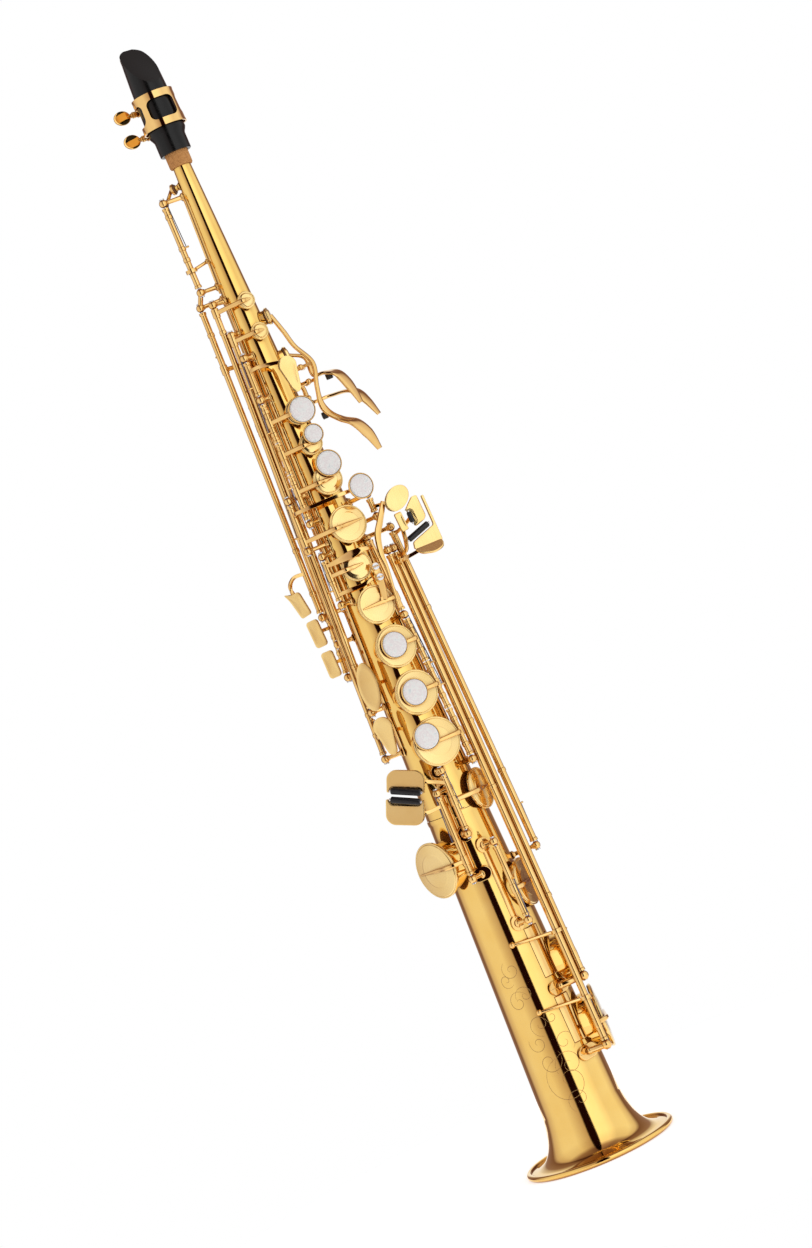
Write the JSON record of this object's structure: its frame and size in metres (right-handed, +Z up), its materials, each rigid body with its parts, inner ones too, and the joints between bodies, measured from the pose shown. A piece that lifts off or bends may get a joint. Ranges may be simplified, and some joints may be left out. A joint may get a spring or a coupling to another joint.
{
  "type": "soprano saxophone",
  "caption": "Straight soprano saxophone in gold lacquer, with its mouthpiece, reed, ligature and working keywork, standing on its bell.",
  "frame": {"origin": "on the plane the bell's rim stands on, under the middle of the bounding box", "axes": "+Z up along the bore from the bell to the mouthpiece, -Y the way the pearls face, +X the player's left"},
  "size_m": [0.1006, 0.092, 0.6975],
  "materials": {
    "lacquered_brass": "clear gold lacquer, polished to a mirror",
    "nacre": "pearly white touch",
    "ebonite": "black hard rubber, polished body and satin beak",
    "cane": "dry cane with fine fibres",
    "cork": "sanded cork",
    "roller": "black polished roller",
    "leather": "thin brown kid leather over felt",
    "steel": "turned steel screws, pivots and springs"
  },
  "bodies": {
    "body": {"body_tube": "lacquered_brass", "bell": "lacquered_brass", "neck_cork": "cork", "low_b_posts": "lacquered_brass", "table_posts": "lacquered_brass", "c_sharp_lever_post": "lacquered_brass", "c_sharp_cup_posts": "lacquered_brass", "little_finger_posts": "lacquered_brass", "right_stack_posts": "lacquered_brass", "left_stack_posts": "lacquered_brass", "left_side_posts": "lacquered_brass", "palm_key_posts": "lacquered_brass", "octave_posts": "lacquered_brass", "thumb_rest": "lacquered_brass", "thumb_hook": "lacquered_brass", "strap_ring": "lacquered_brass"},
    "low_d": {"low_d_key": "lacquered_brass", "low_d_pearl": "nacre"},
    "low_e": {"low_e_key": "lacquered_brass", "low_e_pearl": "nacre"},
    "low_f": {"low_f_key": "lacquered_brass", "low_f_pearl": "nacre"},
    "f_sharp": {"f_sharp_key": "lacquered_brass"},
    "g": {"g_key": "lacquered_brass", "g_pearl": "nacre"},
    "a": {"a_key": "lacquered_brass", "a_pearl": "nacre"},
    "bis": {"bis_key": "lacquered_brass", "bis_pearl": "nacre"},
    "b": {"b_key": "lacquered_brass", "b_pearl": "nacre"},
    "front_f": {"front_f_key": "lacquered_brass"},
    "g_sharp_cup": {"g_sharp_cup_key": "lacquered_brass"},
    "g_sharp_lever": {"g_sharp_lever_key": "lacquered_brass"},
    "low_c_sharp_lever": {"low_c_sharp_lever_key": "lacquered_brass"},
    "table_roller_upper": {"table_roller_upper": "roller"},
    "low_b": {"low_b_key": "lacquered_brass"},
    "low_b_flat": {"low_b_flat_key": "lacquered_brass"},
    "table_roller_lower": {"table_roller_lower": "roller"},
    "low_c_sharp_cup": {"low_c_sharp_cup_key": "lacquered_brass"},
    "low_e_flat": {"low_e_flat_key": "lacquered_brass"},
    "little_finger_roller_upper": {"little_finger_roller_upper": "roller"},
    "low_c": {"low_c_key": "lacquered_brass"},
    "little_finger_roller_lower": {"little_finger_roller_lower": "roller"},
    "side_e": {"side_e_key": "lacquered_brass"},
    "side_c": {"side_c_key": "lacquered_brass"},
    "side_b_flat": {"side_b_flat_key": "lacquered_brass"},
    "high_f_sharp": {"high_f_sharp_key": "lacquered_brass"},
    "high_g": {"high_g_key": "lacquered_brass"},
    "palm_f": {"palm_f_key": "lacquered_brass"},
    "palm_e_flat": {"palm_e_flat_key": "lacquered_brass"},
    "palm_d": {"palm_d_key": "lacquered_brass"},
    "neck_octave": {"neck_octave_key": "lacquered_brass"},
    "body_octave": {"body_octave_key": "lacquered_brass"},
    "octave_thumb_lever": {"octave_thumb_lever": "lacquered_brass"},
    "mouthpiece_assembly": {"mouthpiece": "ebonite", "reed": "cane", "ligature": "lacquered_brass"},
    "ligature_screw_upper": {"ligature_screw_upper": "lacquered_brass"},
    "ligature_screw_lower": {"ligature_screw_lower": "lacquered_brass"}
  },
  "joints": [
    {"name": "low_d_hinge", "type": "hinge", "parent": "body", "child": "low_d", "pos_m": [0.01548, -0.01601, 0.257], "axis": [-0.0392, 0.0348, 0.9986], "range_deg": [-10.22, 0], "stiffness_Nm_per_rad": 0.02, "springref_deg": 22.92},
    {"name": "low_e_hinge", "type": "hinge", "parent": "body", "child": "low_e", "pos_m": [0.01429, -0.01495, 0.2875], "axis": [-0.0392, 0.0348, 0.9986], "range_deg": [-11.1, 0], "stiffness_Nm_per_rad": 0.02, "springref_deg": 22.92},
    {"name": "low_f_hinge", "type": "hinge", "parent": "body", "child": "low_f", "pos_m": [0.01315, -0.01394, 0.3165], "axis": [-0.0392, 0.0348, 0.9986], "range_deg": [-11.57, 0], "stiffness_Nm_per_rad": 0.02, "springref_deg": 22.92},
    {"name": "f_sharp_hinge", "type": "hinge", "parent": "body", "child": "f_sharp", "pos_m": [0.01211, -0.01302, 0.343], "axis": [-0.0392, 0.0348, 0.9986], "range_deg": [-10.24, 0], "stiffness_Nm_per_rad": 0.02, "springref_deg": 22.92},
    {"name": "g_hinge", "type": "hinge", "parent": "body", "child": "g", "pos_m": [-0.02419, -0.01522, 0.392], "axis": [0.024, 0.028, 0.9993], "range_deg": [0, 6.79], "stiffness_Nm_per_rad": 0.02, "springref_deg": -22.92},
    {"name": "a_hinge", "type": "hinge", "parent": "body", "child": "a", "pos_m": [-0.0165, -0.0161, 0.42], "axis": [0.0229, 0.0312, 0.9992], "range_deg": [0, 8.79], "stiffness_Nm_per_rad": 0.02, "springref_deg": -22.92},
    {"name": "bis_hinge", "type": "hinge", "parent": "body", "child": "bis", "pos_m": [-0.01597, -0.01537, 0.4432], "axis": [0.0229, 0.0312, 0.9992], "range_deg": [0, 7.96], "stiffness_Nm_per_rad": 0.02, "springref_deg": -22.92},
    {"name": "b_hinge", "type": "hinge", "parent": "body", "child": "b", "pos_m": [-0.01551, -0.01476, 0.463], "axis": [0.0229, 0.0312, 0.9992], "range_deg": [0, 8.65], "stiffness_Nm_per_rad": 0.02, "springref_deg": -22.92},
    {"name": "front_f_hinge", "type": "hinge", "parent": "body", "child": "front_f", "pos_m": [-0.01577, -0.0151, 0.452], "axis": [0.0229, 0.0312, 0.9992], "range_deg": [0, 10.42], "stiffness_Nm_per_rad": 0.02, "springref_deg": -22.92},
    {"name": "g_sharp_cup_hinge", "type": "hinge", "parent": "body", "child": "g_sharp_cup", "pos_m": [-0.01822, -0.01496, 0.368], "axis": [0.0174, 0.0174, 0.9997], "range_deg": [-7.69, 0], "stiffness_Nm_per_rad": 0.02, "springref_deg": 22.92},
    {"name": "g_sharp_lever_hinge", "type": "hinge", "parent": "body", "child": "g_sharp_lever", "pos_m": [0.02023, -0.00935, 0.388], "axis": [-0.0083, 0.0125, 0.9999], "range_deg": [0, 7.94], "stiffness_Nm_per_rad": 0.02, "springref_deg": -22.92},
    {"name": "low_c_sharp_lever_hinge", "type": "hinge", "parent": "body", "child": "low_c_sharp_lever", "pos_m": [0.02798, 0.001, 0.2755], "axis": [-0.0268, 0.0098, 0.9996], "range_deg": [0, 10.42], "stiffness_Nm_per_rad": 0.02, "springref_deg": -22.92},
    {"name": "table_roller_upper_hinge", "type": "hinge", "parent": "low_c_sharp_lever", "child": "table_roller_upper", "pos_m": [0.03803, -0.0131, 0.3818], "axis": [0, 0, 1], "continuous": true},
    {"name": "low_b_hinge", "type": "hinge", "parent": "body", "child": "low_b", "pos_m": [0.0259, -0.01554, 0.112], "axis": [-0.0164, 0.0572, 0.9982], "range_deg": [0, 10.49], "stiffness_Nm_per_rad": 0.02, "springref_deg": -22.92},
    {"name": "low_b_flat_hinge", "type": "hinge", "parent": "body", "child": "low_b_flat", "pos_m": [0.02259, -0.02053, 0.072], "axis": [-0.0145, 0.0473, 0.9988], "range_deg": [0, 8.94], "stiffness_Nm_per_rad": 0.02, "springref_deg": -22.92},
    {"name": "table_roller_lower_hinge", "type": "hinge", "parent": "low_b_flat", "child": "table_roller_lower", "pos_m": [0.03883, -0.01675, 0.37225], "axis": [0.9364, 0.1649, 0.3099], "continuous": true},
    {"name": "low_c_sharp_cup_hinge", "type": "hinge", "parent": "body", "child": "low_c_sharp_cup", "pos_m": [0.00917, -0.02481, 0.162], "axis": [-0.0167, 0.0309, 0.9994], "range_deg": [-5.3, 0], "stiffness_Nm_per_rad": 0.02, "springref_deg": 22.92},
    {"name": "low_e_flat_hinge", "type": "hinge", "parent": "body", "child": "low_e_flat", "pos_m": [-0.00327, -0.02507, 0.222], "axis": [0, 0.0312, 0.9995], "range_deg": [-4.19, 0], "stiffness_Nm_per_rad": 0.02, "springref_deg": 22.92},
    {"name": "little_finger_roller_upper_hinge", "type": "hinge", "parent": "low_e_flat", "child": "little_finger_roller_upper", "pos_m": [-0.02637, -0.03245, 0.23785], "axis": [0.8792, -0.2198, -0.4227], "continuous": true},
    {"name": "low_c_hinge", "type": "hinge", "parent": "body", "child": "low_c", "pos_m": [-0.01073, -0.02696, 0.188], "axis": [0.0043, 0.0304, 0.9995], "range_deg": [-10.71, 0], "stiffness_Nm_per_rad": 0.02, "springref_deg": 22.92},
    {"name": "little_finger_roller_lower_hinge", "type": "hinge", "parent": "low_c", "child": "little_finger_roller_lower", "pos_m": [-0.02852, -0.0321, 0.2331], "axis": [0.8742, -0.2171, -0.4343], "continuous": true},
    {"name": "side_e_hinge", "type": "hinge", "parent": "body", "child": "side_e", "pos_m": [-0.02773, -0.002, 0.503], "axis": [0.0274, 0, 0.9996], "range_deg": [0, 4.62], "stiffness_Nm_per_rad": 0.02, "springref_deg": -22.92},
    {"name": "side_c_hinge", "type": "hinge", "parent": "body", "child": "side_c", "pos_m": [-0.02228, 0.00356, 0.465], "axis": [0.057, -0.0071, 0.9983], "range_deg": [0, 7.74], "stiffness_Nm_per_rad": 0.02, "springref_deg": -22.92},
    {"name": "side_b_flat_hinge", "type": "hinge", "parent": "body", "child": "side_b_flat", "pos_m": [-0.02223, 0.00802, 0.437], "axis": [0.0773, -0.0039, 0.997], "range_deg": [0, 7.72], "stiffness_Nm_per_rad": 0.02, "springref_deg": -22.92},
    {"name": "high_f_sharp_hinge", "type": "hinge", "parent": "body", "child": "high_f_sharp", "pos_m": [-0.01643, -0.01031, 0.515], "axis": [0.0459, -0.0036, 0.9989], "range_deg": [-6.7, 0], "stiffness_Nm_per_rad": 0.02, "springref_deg": 22.92},
    {"name": "high_g_hinge", "type": "hinge", "parent": "body", "child": "high_g", "pos_m": [-0.01953, -0.00859, 0.5345], "axis": [0.0394, -0.0095, 0.9992], "range_deg": [-5.8, 0], "stiffness_Nm_per_rad": 0.02, "springref_deg": 22.92},
    {"name": "palm_f_hinge", "type": "hinge", "parent": "body", "child": "palm_f", "pos_m": [0.01385, -0.00255, 0.487], "axis": [0.1392, 0.9903, 0], "range_deg": [0, 2.54], "stiffness_Nm_per_rad": 0.02, "springref_deg": -22.92},
    {"name": "palm_e_flat_hinge", "type": "hinge", "parent": "body", "child": "palm_e_flat", "pos_m": [0.01395, 0.00321, 0.478], "axis": [-0.1736, 0.9848, 0], "range_deg": [0, 4.68], "stiffness_Nm_per_rad": 0.02, "springref_deg": -22.92},
    {"name": "palm_d_hinge", "type": "hinge", "parent": "body", "child": "palm_d", "pos_m": [0.00743, 0.01394, 0.47], "axis": [-0.766, 0.6428, 0], "range_deg": [0, 5.56], "stiffness_Nm_per_rad": 0.02, "springref_deg": -22.92},
    {"name": "neck_octave_hinge", "type": "hinge", "parent": "body", "child": "neck_octave", "pos_m": [-0.02287, -0.004, 0.5725], "axis": [0.0034, 0, 1], "range_deg": [0, 8.65], "stiffness_Nm_per_rad": 0.02, "springref_deg": -22.92},
    {"name": "body_octave_hinge", "type": "hinge", "parent": "body", "child": "body_octave", "pos_m": [-0.00376, 0.0146, 0.53], "axis": [-0.9994, 0.0349, 0], "range_deg": [0, 5], "stiffness_Nm_per_rad": 0.02, "springref_deg": -22.92},
    {"name": "octave_thumb_lever_hinge", "type": "hinge", "parent": "body", "child": "octave_thumb_lever", "pos_m": [-0.00427, 0.01729, 0.475], "axis": [-1, 0, 0], "range_deg": [0, 7.22], "stiffness_Nm_per_rad": 0.02, "springref_deg": -22.92},
    {"name": "mouthpiece_assembly_slide", "type": "slide", "parent": "body", "child": "mouthpiece_assembly", "axis": [0, 0, 1], "range_m": [-0.002, 0.01]},
    {"name": "ligature_screw_upper_hinge", "type": "hinge", "parent": "mouthpiece_assembly", "child": "ligature_screw_upper", "pos_m": [-0.01247, 0.0142, 0.6625], "axis": [-0.866, -0.5, 0], "continuous": true},
    {"name": "ligature_screw_lower_hinge", "type": "hinge", "parent": "mouthpiece_assembly", "child": "ligature_screw_lower", "pos_m": [-0.01247, 0.0142, 0.6475], "axis": [-0.866, -0.5, 0], "continuous": true}
  ],
  "couplings": [
    {"joint": "g_sharp_cup_hinge", "follows": "g_sharp_lever_hinge", "ratio": -0.9491},
    {"joint": "low_c_sharp_cup_hinge", "follows": "low_c_sharp_lever_hinge", "ratio": -0.4984},
    {"joint": "neck_octave_hinge", "follows": "octave_thumb_lever_hinge", "ratio": 1.174},
    {"joint": "body_octave_hinge", "follows": "octave_thumb_lever_hinge", "ratio": 0.6786},
    {"joint": "f_sharp_hinge", "follows": "low_f_hinge", "ratio": 0.8673}
  ]
}
